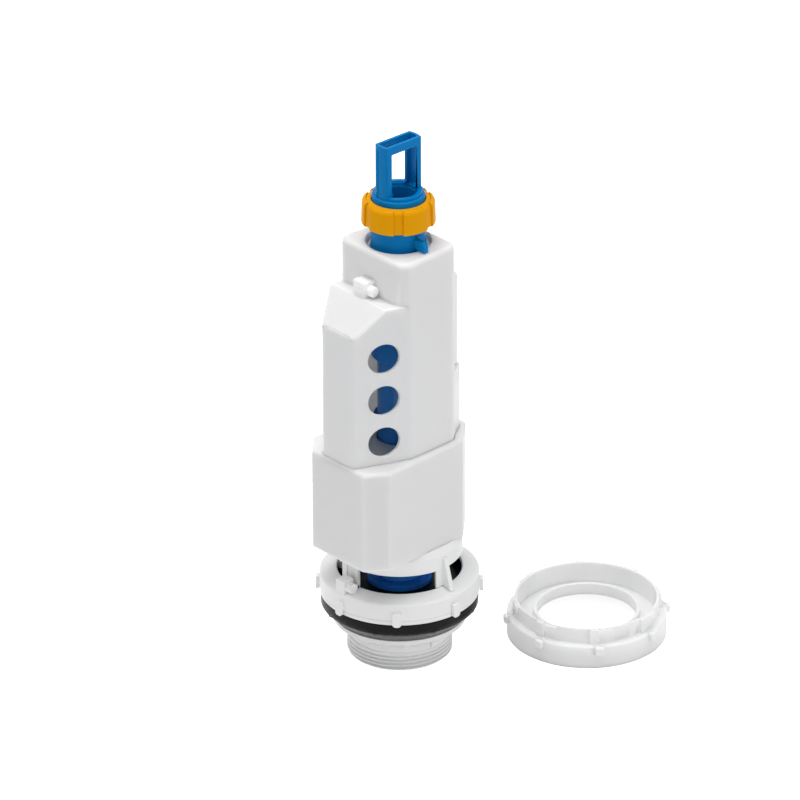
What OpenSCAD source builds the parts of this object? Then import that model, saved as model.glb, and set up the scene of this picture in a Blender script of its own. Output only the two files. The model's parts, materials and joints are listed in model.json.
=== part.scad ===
// Toilet flush valve with a threaded outlet, a float cup, a tower and a loose back nut.
// Origin: middle of the outlet's lower end. +Z is up and the nose of the housing points to -Y.

/* [Outlet] */
// Crest radius of the outlet thread
thread_r = 29.8; // [27:0.1:32]
// Length of the threaded stretch
thread_len = 11; // [8:0.5:14]
// Radius of the outlet's bore
outlet_bore_r = 24; // [20:0.5:25]
// Height of the plain neck above the thread
neck_h = 10.5; // [8:0.5:14]
// How far the washer's lip stands out from the thread
lip_out = 7.1; // [4:0.1:9]
// Thickness of the washer's lip
lip_h = 1.9; // [1.4:0.1:3]
// Height of the raised valve seat
seat_h = 2; // [1.2:0.1:3]
// Number of driving lugs round the neck
lug_count = 5; // [3:1:6]

/* [Base] */
// Width of the base flange's sloped top, from its opening to its edge
flange_w = 10.1; // [9:0.1:13]
// Thickness of the plate under the flange
plate_h = 2; // [1.5:0.1:3]
// Height of the flange's outer wall
flange_h = 10; // [9:0.5:14]
// How far the flange's top rises towards its opening
dish_rise = 2.5; // [1.5:0.1:3.5]
// Number of grip nubs
nub_count = 8; // [6:1:10]
// Width of a grip nub
nub_w = 5; // [3:0.5:7]
// How far a grip nub stands out
nub_out = 2.1; // [1:0.1:3]
// Height of a grip nub
nub_h = 8.2; // [6:0.1:10]
// Height of the rubber washer
washer_h = 14.6; // [11:0.1:18]
// Height of the washer's upright edge
washer_edge_h = 7.3; // [4:0.1:9]

/* [Cage] */
// Outer radius of the cage
cage_r = 35.7; // [35:0.1:37]
// Wall of the cage
cage_wall = 2.2; // [1.6:0.1:2.8]
// Height of the water windows
window_h = 10.7; // [8:0.1:20]
// Height of the skirt above the windows
skirt_h = 8.6; // [6:0.1:14]
// Height of the sloped shoulder between the skirt and the cup
throat_h = 2.8; // [2:0.1:8]
// How far that shoulder runs in from the cage
throat_step = 2.7; // [1:0.1:4]
// Width of a cage post, in degrees round the cage
post_angle = 13; // [8:0.5:16]
// How far the cage turns to come off its base, in degrees
unlock_turn = 30; // [24:1:40]
// How far the fin of the right-hand post stands out from the cage
fin_out = 6.3; // [3:0.1:7]

/* [Cup] */
// Height of the float cup
cup_h = 60.9; // [50:0.1:80]
// Wall of the float cup
cup_wall = 2; // [1.4:0.1:2.6]
// Reach of the cup to the front
cup_front = 49.8; // [49:0.1:56]
// Reach of the cup to the rear
cup_rear = 38; // [37:0.1:44]
// Reach of the cup to the right
cup_right = 33.3; // [32.5:0.1:40]
// Reach of the cup to the left
cup_left = 30; // [29.5:0.1:34]
// Rounding of the cup's top edge
cup_round = 2.4; // [1:0.1:3.5]

/* [Housing] */
// Height of the tower above the cup
tower_h = 119.9; // [110:0.1:140]
// Wall of the housing
housing_wall = 2; // [1.4:0.1:2.6]
// Reach of the tower to the front
tower_front = 22; // [21:0.1:25]
// Reach of the tower to the rear
tower_rear = 21; // [20:0.1:23]
// Reach of the tower to the right, at its front
tower_right = 28.9; // [28:0.1:30]
// Reach of the tower to the left, at its front
tower_left = 27; // [25:0.1:28]
// How much narrower each side of the tower is at its rear
tower_taper = 2.2; // [0:0.1:4]
// Rounding of the tower's upright corners
tower_corner = 7; // [3:0.5:9]
// Rounding of the tower's top edge
tower_round = 3; // [1:0.1:4]
// Radius of the hole in the tower's top
tower_hole_r = 18; // [17:0.1:19]
// Reach of the nose to the front
nose_front = 48.5; // [44:0.1:48.6]
// Height of the nose's front edge above the cup
nose_h = 79.5; // [72:0.1:86]
// Height of the ledge behind the nose's slant, above the cup
ledge_h = 94.6; // [88:0.1:100]
// Depth of that ledge
ledge_d = 8.5; // [6:0.1:10]
// Radius of the water holes
water_hole_r = 8.8; // [6:0.1:10]
// Spacing of the water holes
water_hole_pitch = 25.65; // [22:0.05:27]
// Number of water holes
water_hole_count = 3; // [1:1:3]
// Height of the lowest water hole above the cup
water_hole_first = 13.6; // [12:0.1:18]
// Distance of the water holes behind the nose's front
water_hole_back = 17.1; // [15:0.1:19]
// Reach of the rear bulge
rear_reach = 32.5; // [31:0.1:35]
// Height of the rear bulge above the cup
rear_h = 38.3; // [34:0.1:48]

/* [Regulator] */
// Height of the regulator slider
regulator_h = 56.7; // [48:0.1:62]
// Half width of the regulator slider
regulator_half_w = 15; // [12:0.5:17]
// Travel of the regulator slider
regulator_travel = 15; // [5:0.5:16]

/* [Lift tube] */
// Outer radius of the overflow tube
tube_r = 12.1; // [11:0.1:12.4]
// Wall of the overflow tube
tube_wall = 1.9; // [1.4:0.1:2.4]
// How far the handle can be pulled out on its riser tube
riser_travel = 30; // [10:1:34]
// Length of the riser tube that stays in the sleeve then
riser_grip = 38; // [30:0.5:45]
// Lift of the valve
lift = 12; // [8:0.5:14]
// Radius of the blue seal clamp
clamp_disc_r = 18.6; // [16:0.1:24]
// Thickness of the flush seal
seal_h = 2.5; // [2:0.1:3.5]
// Radius of the adjusting sleeve
sleeve_r = 15.5; // [15.2:0.1:16]
// Length of the sleeve below its nut
sleeve_len = 81.8; // [70:0.1:90]
// Height of the tab above the tower
tab_h = 5.8; // [4:0.1:8]
// Radius of the clamp nut
nut_r = 20.3; // [19.5:0.1:22]
// Height of the clamp nut
nut_h = 15; // [12:0.1:18]
// Height of the sleeve's collet, from the clamp nut's foot
collet_h = 18; // [16:0.1:19]
// Number of grip grooves round the clamp nut
groove_count = 6; // [4:1:8]
// Height of the pull handle
handle_h = 31.5; // [24:0.5:40]
// Radius of the pull handle's round ends
handle_r = 13.5; // [12.6:0.1:14.5]
// Thickness of the pull handle across its flats
handle_t = 10; // [8:0.1:12]
// Width of the handle's window
handle_window_w = 20.4; // [16:0.1:21]
// Travel of the float
float_travel = 10; // [5:0.5:11]

/* [Back nut] */
// Place of the loose back nut, to the right
back_nut_x = 57.4; // [50:0.1:90]
// Place of the loose back nut, to the rear
back_nut_y = 91.1; // [90:0.1:140]
// Outer radius of the back nut's skirt
back_nut_r = 45.4; // [44:0.1:48]
// Height of the back nut's skirt
back_nut_h = 13.7; // [11:0.1:16]
// Outer radius of the back nut's collar
collar_r = 40.9; // [38:0.1:42]
// Height of the collar above the skirt
collar_h = 8.8; // [6:0.1:10]

/* [Hidden] */
$fn = 96;

// Clearances: a seat that lies still, a free run, a sliding pin and a joint between mouldings
seat_gap = 0.05;
run_gap = 0.3;
pin_gap = 0.05;
joint_gap = 0.15;
// Overlap of solids that are joined, and overshoot of a cut
weld = 0.4;
over = 1;

white = [0.95, 0.95, 0.95];
blue = [0.1, 0.42, 0.75];
yellow = [0.93, 0.65, 0.12];
black = [0.08, 0.08, 0.09];

// Radii of the base, which follow the cage that stands in it
wall_step = 0.6;
lug_reach = 2.5;
gasket_wall = 1.1;
opening_r = cage_r - wall_step;
flange_r = opening_r + flange_w;
lug_out_r = opening_r + lug_reach;
gasket_r = lug_out_r + run_gap + gasket_wall;

// Heights of the base, from the outlet's end up
lip_z = thread_len + neck_h;
washer_z = lip_z + lip_h;
plate_z = washer_z + washer_h;
base_z = plate_z + plate_h;
flange_z = base_z + flange_h;
opening_z = flange_z + dish_rise;
seat_z = base_z + seat_h;
lip_r = thread_r + lip_out;
neck_r = thread_r - 0.8;
spigot_chamfer = 1.4;
lug_turn = -70;
lug_w = 8;
lug_out = 1.4;
lug_rise = 1.2;
rib_w = 3;
rib_out = 0.7;
rib_rise = 3;
plate_inset = 0.2;
seat_slope = 1.5;
nub_turn = 1;
nub_drop = 3;
back_nub_turn = 11;
back_nub_h = 3.6;
washer_tab_turn = 29;
washer_tab_r = 2.6;
seat_in_r = outlet_bore_r + 1;
seat_w = 2;
washer_r = flange_r - 1.2;
washer_bore_r = neck_r + 1.2;
washer_taper = 1.7;
gasket_h = seat_h - 0.3;
edge_round = 1.4;
rim_chamfer = 0.6;

// Heights of the cage and of what stands on it
post_z = opening_z + run_gap;
skirt_z = opening_z + window_h;
throat_z = skirt_z + skirt_h;
cup_z = throat_z + throat_h;
cup_top = cup_z + cup_h;
floor_h = 2.5;
cage_in_r = cage_r - cage_wall;
throat_r = cage_r - throat_step;
post_in_r = cage_in_r + 0.3;
post_r = cage_r - 0.4;
post_angles = [0, 90, 180];
front_post_angles = [-102, -84];
front_post_share = 0.6;
foot_r = opening_r - run_gap;
foot_in_r = foot_r - cage_wall;
lug_h = 3.2;
lug_half_angle = 7;
lug_angles = [90, 180, 270];
guide_wall = 2.3;
guide_r = tube_r + run_gap + guide_wall;
guide_h = 12;
cage_roof = 1.2;

// Heights of the housing
shoulder_h = 2.4;
foot_z = cup_top - shoulder_h;
tower_top = cup_top + tower_h;
nose_z = cup_top + nose_h;
ledge_z = cup_top + ledge_h;
rear_z = cup_top + rear_h;
top_wall = 2.5;
nose_corner_r = 4.5;
nose_edge_r = 1.6;
top_collar_wall = 1.4;
top_collar_h = 9;
peg_r = 3.1;
peg_out = 4.2;
peg_left = 4;
flange_peg_right = 3;
flange_peg_h = 8;
flange_peg_rim = 0.9;
nose_peg_left = 4.6;
nose_peg_right = 4.8;
nose_peg_h = 9.2;
nose_peg_rim = 1.9;
peg_inset = 0.6;

// Outlines in plan, seen from above and running anticlockwise
cup_plan = [
    [-cup_left + 12.5, -cup_front], [cup_right - 7.8, -cup_front], [cup_right, -cup_front + 12.7],
    [cup_right - 3, cup_rear - 17], [cup_right - 19.3, cup_rear], [-cup_left + 13, cup_rear],
    [-cup_left, cup_rear - 15], [-cup_left, -cup_front + 12.5]
];
tower_plan = [
    [-tower_left, -tower_front], [tower_right, -tower_front],
    [tower_right - tower_taper, tower_rear], [-tower_left + tower_taper, tower_rear]
];
nose_corner = [tower_right - 12.5, -nose_front];
nose_root = [tower_right - tower_taper / 3, -tower_front + 4.6];
nose_plan = [
    [-tower_left + 16.9, -nose_front], nose_corner, nose_root, [tower_right - 4, 0],
    [-tower_left + 3, 0], [-tower_left + 4.5, -nose_front + 17.5]
];
rear_plan = [
    [-tower_left + 5, 0], [tower_right - 5, 0], [tower_right - 2, rear_reach - 17.4],
    [regulator_half_w, rear_reach], [-regulator_half_w, rear_reach], [-tower_left + 2, rear_reach - 17.4]
];
nose_profile = [
    [-nose_front - over, foot_z - over], [over, foot_z - over], [over, ledge_z],
    [-tower_front - ledge_d, ledge_z], [-nose_front, nose_z], [-nose_front - over, nose_z - over]
];

// Heights of the lift tube and of what it carries
seal_z = seat_z + seat_gap;
clamp_z = seal_z + seal_h + seat_gap;
clamp_disc_h = 3.4;
seal_r = foot_in_r - 0.7;
tube_in_r = tube_r - tube_wall;
tube_z = seal_z - 8;
seal_nut_r = outlet_bore_r - 6;
seal_nut_h = 5.4;
fit_r = tube_r + seat_gap;
tab_z = tower_top + run_gap;
nut_z = tab_z + 10.8;
sleeve_z = nut_z - sleeve_len;
sleeve_bore_r = tube_r + run_gap;
sleeve_chamfer = 0.8;
tab_reach = sleeve_r + 8.5;
tab_w = 3;
tab_drop = 2;
collet_r = sleeve_r - 0.6;
groove_angle = 15.6;
groove_d = 1.2;
groove_turn = -42;
nut_chamfer = 0.9;
nut_round = 3;
collet_top = nut_z + collet_h;
riser_drop = 1.5;
tube_top = collet_top - riser_drop;
riser_z = tube_top - riser_travel - riser_grip;
collar_rise = 12.1;
collar_z = foot_z + collar_rise;
collar_h_tube = 3;
collar_out_r = tube_r + 2.1;

// Plug, rim, legs and bar of the pull handle
handle_z = collet_top + seat_gap;
handle_wall = 1.9;
handle_rim_h = 1.6;
handle_bar_h = 5;
handle_mouth_r = handle_r - 2.3;
window_round = 3;
rib_r = 0.8;
rib_side = 2.4;
rib_drop = 2.5;
plug_r = tube_in_r - seat_gap;
plug_len = 14;

// Float inside the cup
float_z = cup_z + floor_h + run_gap;
float_top = foot_z - float_travel - 1.5;
float_wall = 1.6;
float_side = cup_wall + 1.5;
neck_out_r = tube_r + 2.4;
neck_bore_r = tube_r + 0.8;
neck_top = cup_top - 1.5;

// Latch that holds the lifted tube, on a pin behind it
latch_pin_r = 2;
latch_t = 6;
latch_back = 8.5;
latch_rise = 14.5;
latch_foot = 2.5;
latch_y = rear_reach - latch_back;
latch_z = foot_z + latch_rise;
latch_tip_y = collar_out_r + 0.4;
latch_hook_top = collar_z + lift - run_gap;
latch_hook_h = 3.6;
ear_t = 3;
ear_r = 5;

// Slot and tongue that carry the regulator slider
regulator_z = rear_z + run_gap;
regulator_corner = 3.5;
regulator_round = 3;
tongue_half_w = 3.7;
tongue_z = regulator_z + 10;
tongue_h = 28;
head_half_w = 8;
head_t = 1.7;

function unit(v) = v / norm(v);

// Points of the arc that rounds the corner b of the line a, b, c
function corner_arc(a, b, c, r, steps) =
    let (u = unit(a - b), v = unit(c - b), half = acos(u * v) / 2, m = b + unit(u + v) * r / sin(half))
    let (p = b + u * r / tan(half) - m, q = b + v * r / tan(half) - m)
    let (start = atan2(p[1], p[0]), turn = (atan2(q[1], q[0]) - start + 540) % 360 - 180)
    [for (k = [0:steps]) m + r * [cos(start + turn * k / steps), sin(start + turn * k / steps)]];

// A convex outline with all its corners rounded
function rounded(points, r, steps = 5) =
    let (n = len(points))
    [for (i = [0:n - 1])
        each corner_arc(points[(i + n - 1) % n], points[i], points[(i + 1) % n], r, steps)];

// A convex outline moved inwards by d on every side
function shrink(points, d) =
    let (n = len(points))
    [for (i = [0:n - 1])
        let (u = unit(points[i] - points[(i + n - 1) % n]), v = unit(points[(i + 1) % n] - points[i]))
        points[i] + d * ([-u[1], u[0]] + [-v[1], v[0]]) / (1 + u * v)];

// An upright block with rounded corners
module block(plan, z0, z1, corner) {
    translate([0, 0, z0])
        linear_extrude(z1 - z0)
            polygon(rounded(plan, corner));
}

// The same with its top edge rounded too
module soft_block(plan, z0, z1, corner, top_r, steps = 4) {
    slice = 0.02;
    hull() {
        for (k = [0:steps]) {
            inset = top_r * (1 - cos(90 * k / steps));
            block(shrink(plan, inset), k == 0 ? z0 : z1 - slice - top_r * (1 - sin(90 * k / steps)),
                  z1 - top_r * (1 - sin(90 * k / steps)), corner - inset * 0.7);
        }
    }
}

// A ring, or a piece of one, between two radii and two heights
module ring(r_in, r_out, z0, z1, from = 0, to = 360) {
    rotate([0, 0, from])
        rotate_extrude(angle = to - from)
            translate([r_in, z0])
                square([r_out - r_in, z1 - z0]);
}

// A bar that stands at an angle round the axis
module radial_bar(angle, r_in, r_out, width, z0, z1) {
    rotate([0, 0, angle])
        translate([r_in, -width / 2, z0])
            cube([r_out - r_in, width, z1 - z0]);
}

// A peg block with a round pin that points to +X
module peg(x0, x1, y0, y1, z0, z1, rim) {
    translate([x0, y0, z0])
        cube([x1 - x0, y1 - y0, z1 - z0]);
    translate([x1 - weld, (y0 + y1) / 2, z1 - peg_r - rim])
        rotate([0, 90, 0])
            cylinder(r = peg_r, h = peg_out + weld);
}

// Threaded spigot with its neck, the washer's lip, the base plate and the valve seat
module outlet_tail() {
    color(white) {
        rotate_extrude()
            polygon([
                [outlet_bore_r, 0], [thread_r - spigot_chamfer, 0], [thread_r, spigot_chamfer],
                [thread_r, thread_len], [neck_r, thread_len + 0.5], [neck_r, lip_z], [lip_r, lip_z],
                [lip_r, washer_z], [neck_r + 1, washer_z], [neck_r + 1, plate_z],
                [flange_r - plate_inset, plate_z], [flange_r - plate_inset, base_z],
                [seat_in_r + seat_w + seat_slope, base_z], [seat_in_r + seat_w, seat_z], [seat_in_r, seat_z],
                [outlet_bore_r, seat_z - seat_slope]
            ]);
        for (k = [0:lug_count - 1]) {
            radial_bar(lug_turn + k * 360 / lug_count, neck_r - weld, neck_r + lug_out, lug_w,
                       thread_len + lug_rise, lip_z + weld);
            radial_bar(lug_turn + (k + 0.5) * 360 / lug_count, neck_r - weld, neck_r + rib_out, rib_w,
                       thread_len + rib_rise, lip_z + weld);
        }
    }
}

// Flange that covers the seat and locks the cage, with its nubs and a peg
module base_flange() {
    color(white)
        difference() {
            union() {
                rotate_extrude()
                    polygon(concat(
                        [[gasket_r + seat_gap, base_z + seat_gap], [flange_r, base_z + seat_gap]],
                        corner_arc([flange_r, base_z], [flange_r, flange_z], [opening_r, opening_z],
                                   edge_round, 5),
                        [[opening_r + rim_chamfer, opening_z], [opening_r, opening_z - rim_chamfer],
                         [opening_r, flange_z], [gasket_r + seat_gap, flange_z]]
                    ));
                for (k = [0:nub_count - 1])
                    rotate([0, 0, nub_turn + k * 360 / nub_count])
                        nub(flange_r - weld, flange_r + nub_out, base_z - nub_drop, nub_h);
                peg(-peg_left, flange_peg_right, -flange_r + peg_inset, -lug_out_r + run_gap,
                    flange_z + weld / 2, flange_z + flange_peg_h, flange_peg_rim);
                translate([-peg_left, -flange_r + peg_inset, flange_z - over])
                    cube([peg_left + flange_peg_right, peg_left, over + weld]);
            }
            translate([0, 0, plate_z - 2])
                cylinder(r = flange_r + seat_gap, h = plate_h + 2 + seat_gap);
            for (a = lug_angles)
                ring(opening_r - over, lug_out_r + run_gap, flange_z - over, opening_z + over,
                     a - lug_half_angle - 1.5, a + lug_half_angle + 1.5);
        }
}

// One grip nub with a pointed lower end, on the +X side
module nub(r_in, r_out, z0, height) {
    translate([r_in, 0, 0])
        rotate([90, 0, 90])
            linear_extrude(r_out - r_in)
                polygon([
                    [-nub_w / 2, z0 + 1.2], [-nub_w / 4, z0], [nub_w / 4, z0], [nub_w / 2, z0 + 1.2],
                    [nub_w / 2, z0 + height], [-nub_w / 2, z0 + height]
                ]);
}

// Conical rubber washer between the lip and the base plate
module floor_washer() {
    color(black) {
        rotate_extrude()
            polygon([
                [washer_bore_r, washer_z + seat_gap], [lip_r, washer_z + seat_gap],
                [washer_r - washer_taper, plate_z - washer_edge_h], [washer_r, plate_z - 0.6],
                [washer_r - 0.6, plate_z - seat_gap], [washer_bore_r, plate_z - seat_gap]
            ]);
        for (k = [0:nub_count - 1])
            rotate([0, 0, washer_tab_turn + k * 360 / nub_count])
                translate([washer_r - washer_taper - washer_tab_r, 0, plate_z - washer_edge_h - 1.4])
                    cylinder(r = washer_tab_r, h = 2.4);
    }
}

// Rubber gasket with an upright wall that lines the chamber
module seat_gasket() {
    in_r = seat_in_r + seat_w + 2;
    color(black)
        rotate_extrude()
            polygon([
                [in_r, base_z + seat_gap], [gasket_r, base_z + seat_gap], [gasket_r, flange_z - run_gap],
                [gasket_r - gasket_wall, flange_z - run_gap], [gasket_r - gasket_wall, base_z + gasket_h],
                [in_r, base_z + gasket_h]
            ]);
}

// Cage with water windows, bayonet feet, the floor of the cup and the tube's guide
module valve_cage() {
    plug_plan = shrink(cup_plan, cup_wall + joint_gap);
    color(white)
        difference() {
            union() {
                rotate_extrude()
                    polygon([
                        [cage_in_r, skirt_z], [cage_r, skirt_z], [cage_r, throat_z], [throat_r, cup_z],
                        [guide_r - weld, cup_z], [guide_r - weld, cup_z - cage_roof],
                        [throat_r - cage_wall, cup_z - cage_roof],
                        [throat_r - cage_wall, throat_z - cage_wall], [cage_in_r, throat_z - cage_wall]
                    ]);
                block(plug_plan, cup_z - weld, cup_z + floor_h, 2);
                translate([0, 0, cup_z + floor_h + 5 - guide_h])
                    cylinder(r = guide_r, h = guide_h);
                for (a = post_angles)
                    cage_post(a, post_angle);
                for (a = front_post_angles)
                    cage_post(a, post_angle * front_post_share);
                cage_fin();
                for (a = lug_angles) {
                    ring(foot_in_r, foot_r, flange_z - run_gap - lug_h, post_z + weld, a - lug_half_angle,
                         a + unlock_turn + lug_half_angle);
                    ring(foot_r - weld, lug_out_r, flange_z - run_gap - lug_h, flange_z - run_gap,
                         a + unlock_turn - lug_half_angle, a + unlock_turn + lug_half_angle);
                }
            }
            translate([0, 0, skirt_z])
                cylinder(r = tube_r + run_gap, h = cup_h);
        }
}

// One upright post of the cage
module cage_post(middle, angle) {
    ring(post_in_r, post_r, post_z, skirt_z + weld, middle - angle / 2, middle + angle / 2);
}

// Outward fin of the right-hand post, wider at its foot
module cage_fin() {
    t = 3;
    tip_r = cage_r + fin_out;
    tip_z = opening_z - dish_rise * (tip_r - opening_r) / (flange_r - opening_r) + run_gap;
    translate([0, t + 0.5, 0])
        rotate([90, 0, 0])
            linear_extrude(t)
                polygon([
                    [cage_r - 1, post_z + weld], [tip_r, tip_z], [cage_r + 0.8, throat_z - 1.8],
                    [cage_r - 1, throat_z - 1.8]
                ]);
}

// Outer shape of the housing, moved inwards by d, for its shell, its hollow and the cup's opening
module housing_form(d, z0, z1) {
    block(shrink(rear_plan, d), z0, min(z1, rear_z - d), 3);
    intersection() {
        block(shrink(nose_plan, d), z0, z1, nose_corner_r - d);
        translate([-2 * tower_left, 0, 0])
            rotate([90, 0, 90])
                linear_extrude(4 * tower_left)
                    polygon(rounded(shrink(nose_profile, d), nose_edge_r - d / 2, 4));
    }
}

// Float cup, open below and closed by a shoulder round the housing's foot
module lower_cup() {
    color(white)
        difference() {
            soft_block(cup_plan, cup_z + seat_gap, cup_top, 3, cup_round);
            block(shrink(cup_plan, cup_wall), cup_z - over, cup_top - shoulder_h, 2);
            housing_foot(-joint_gap, cup_top - shoulder_h - over, cup_top + over);
        }
}

// The foot of the housing as upright blocks
module housing_foot(d, z0, z1) {
    block(shrink(rear_plan, d), z0, z1, 3);
    block(shrink(nose_plan, d), z0, z1, nose_corner_r - d);
    block(shrink(tower_plan, d), z0, z1, tower_corner - max(d, 0));
}

// Tower and nose in one shell, with water holes, a peg, the regulator's slot and the latch's ears
module housing() {
    color(white) {
        difference() {
            union() {
                soft_block(tower_plan, foot_z, tower_top, tower_corner, tower_round);
                housing_form(0, foot_z, tower_top);
                peg(-nose_peg_left, nose_peg_right, -tower_front - ledge_d + peg_inset, -tower_front + weld,
                    ledge_z - over, ledge_z + nose_peg_h, nose_peg_rim);
            }
            block(shrink(tower_plan, housing_wall), foot_z - over, tower_top - top_wall,
                  tower_corner - housing_wall);
            housing_form(housing_wall, foot_z - over, tower_top - top_wall);
            translate([0, 0, tower_top - 2 * top_wall])
                cylinder(r = tower_hole_r + weld, h = 3 * top_wall);
            for (k = [0:water_hole_count - 1])
                translate([nose_corner[0] - over, water_hole_back - nose_front,
                           cup_top + water_hole_first + k * water_hole_pitch])
                    rotate([0, 90, 0])
                        cylinder(r = water_hole_r, h = tower_right);
            translate([-tongue_half_w - run_gap, tower_rear - 2 * housing_wall, tongue_z - 2])
                cube([2 * (tongue_half_w + run_gap), 4 * housing_wall, tongue_h + regulator_travel + 4]);
        }
        ring(tower_hole_r, tower_hole_r + top_collar_wall, tower_top - top_collar_h, tower_top - 0.2);
        for (x = [-latch_t / 2 - run_gap - ear_t, latch_t / 2 + run_gap])
            latch_ear(x);
    }
}

// Ear inside the rear bulge that carries the latch's pin
module latch_ear(x) {
    difference() {
        translate([x, latch_y - ear_r, latch_z - ear_r])
            cube([ear_t, rear_reach - housing_wall + weld - latch_y + ear_r, 2 * ear_r]);
        translate([x - over, latch_y, latch_z])
            rotate([0, 90, 0])
                cylinder(r = latch_pin_r + seat_gap, h = ear_t + 2 * over);
    }
}

// Slider behind the tower that sets the short flush
module flow_regulator() {
    wall = 2;
    y0 = tower_rear + run_gap;
    plan = [
        [-regulator_half_w, y0], [regulator_half_w, y0],
        [regulator_half_w, rear_reach], [-regulator_half_w, rear_reach]
    ];
    color(white) {
        difference() {
            soft_block(plan, regulator_z, regulator_z + regulator_h, regulator_corner, regulator_round);
            translate([-regulator_half_w + wall, y0 + wall, regulator_z - over])
                cube([2 * (regulator_half_w - wall), rear_reach - y0 - 2 * wall, regulator_h - wall]);
        }
        translate([-tongue_half_w, tower_rear - housing_wall - run_gap - weld, tongue_z])
            cube([2 * tongue_half_w, housing_wall + 2 * run_gap + 2 * weld, tongue_h]);
        translate([-head_half_w, tower_rear - housing_wall - run_gap - head_t, tongue_z])
            cube([2 * head_half_w, head_t, tongue_h]);
    }
}

// Pin of the latch, held in the housing's ears
module latch_pin() {
    length = latch_t + 2 * (run_gap + ear_t);
    color(white)
        translate([-length / 2, latch_y, latch_z])
            rotate([0, 90, 0])
                cylinder(r = latch_pin_r, h = length);
}

// Latch whose hook catches the tube's collar while the float is up
module hold_latch() {
    arm = 2.6;
    color(white)
        difference() {
            union() {
                translate([-latch_t / 2, latch_y, latch_z])
                    rotate([0, 90, 0])
                        cylinder(r = latch_pin_r + 2.2, h = latch_t);
                translate([-latch_t / 2, latch_y - arm / 2, foot_z + latch_foot])
                    cube([latch_t, arm, latch_hook_top - foot_z - latch_foot]);
                translate([-latch_t / 2, latch_tip_y, latch_hook_top - latch_hook_h])
                    cube([latch_t, latch_y - latch_tip_y, latch_hook_h]);
            }
            translate([-latch_t / 2 - over, latch_y, latch_z])
                rotate([0, 90, 0])
                    cylinder(r = latch_pin_r + pin_gap, h = latch_t + 2 * over);
        }
}

// Open-bottomed float round the tube, with a neck that reaches into the housing
module float() {
    color(white)
        difference() {
            union() {
                soft_block(shrink(cup_plan, float_side), float_z, float_top, 2, 2);
                translate([0, 0, float_top - 2 * float_wall])
                    cylinder(r = neck_out_r, h = neck_top - float_top + 2 * float_wall);
            }
            block(shrink(cup_plan, float_side + float_wall), float_z - over, float_top - float_wall, 2);
            translate([0, 0, float_z])
                cylinder(r = neck_bore_r, h = cup_h);
        }
}

// Overflow tube, open at both ends, which stops inside the sleeve
module overflow_tube() {
    color(blue)
        ring(tube_in_r, tube_r, tube_z, riser_z - run_gap);
}

// Riser tube that carries the handle and slides in the sleeve
module riser_tube() {
    color(blue)
        ring(tube_in_r, tube_r, riser_z, tube_top);
}

// Rubber disc that closes the seat
module flush_seal() {
    color(black)
        ring(fit_r, seal_r, seal_z, seal_z + seal_h);
}

// Blue disc that presses the seal down
module seal_clamp() {
    color(blue)
        rotate_extrude()
            polygon([
                [fit_r, clamp_z], [clamp_disc_r, clamp_z], [clamp_disc_r, clamp_z + clamp_disc_h - 1],
                [clamp_disc_r - 1, clamp_z + clamp_disc_h], [fit_r, clamp_z + clamp_disc_h]
            ]);
}

// Nut under the seal, on the tube's lower end
module seal_nut() {
    color(blue)
        difference() {
            translate([0, 0, seal_z - seat_gap - seal_nut_h])
                cylinder(r = seal_nut_r, h = seal_nut_h, $fn = 6);
            translate([0, 0, seal_z - 2 * seal_nut_h])
                cylinder(r = fit_r, h = 3 * seal_nut_h);
        }
}

// Collar on the tube that the latch catches
module stop_collar() {
    color(blue)
        ring(fit_r, collar_out_r, collar_z, collar_z + collar_h_tube);
}

// The handle's form, moved inwards by d: a round rod with two flats
module handle_form(d, z0, z1) {
    intersection() {
        translate([0, 0, z0])
            cylinder(r = handle_r - d, h = z1 - z0);
        translate([-handle_t / 2 + d, -handle_r - over, z0 - over])
            cube([handle_t - 2 * d, 2 * (handle_r + over), z1 - z0 + 2 * over]);
    }
}

// Pull handle: two legs and a hollow bar on a round rim, with a plug that leaves the tube open
module pull_handle() {
    leg_z = handle_z + handle_rim_h;
    top = handle_z + handle_h;
    half = handle_window_w / 2;
    color(blue)
        difference() {
            union() {
                handle_form(0, leg_z - weld, top);
                translate([-rib_side, -sqrt(handle_r * handle_r - rib_side * rib_side), leg_z - weld])
                    cylinder(r = rib_r, h = top - rib_drop - leg_z + weld, $fn = 24);
                rotate_extrude()
                    polygon([
                        [plug_r - handle_wall, tube_top - plug_len], [plug_r, tube_top - plug_len],
                        [plug_r, tube_top + seat_gap], [tube_r, tube_top + seat_gap], [tube_r, handle_z],
                        [handle_r, handle_z], [handle_r, leg_z], [handle_mouth_r, leg_z],
                        [plug_r - handle_wall, tube_top]
                    ]);
            }
            handle_form(handle_wall, leg_z, top + over);
            translate([-handle_t, 0, 0])
                rotate([90, 0, 90])
                    linear_extrude(2 * handle_t)
                        polygon(concat(
                            [[half, top - handle_bar_h], [-half, top - handle_bar_h]],
                            corner_arc([-half, top], [-half, leg_z], [half, leg_z], window_round, 5),
                            corner_arc([-half, leg_z], [half, leg_z], [half, top], window_round, 5)
                        ));
            translate([0, 0, leg_z - 2 * weld])
                cylinder(r = handle_mouth_r - weld, h = 3 * weld);
        }
}

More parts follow.
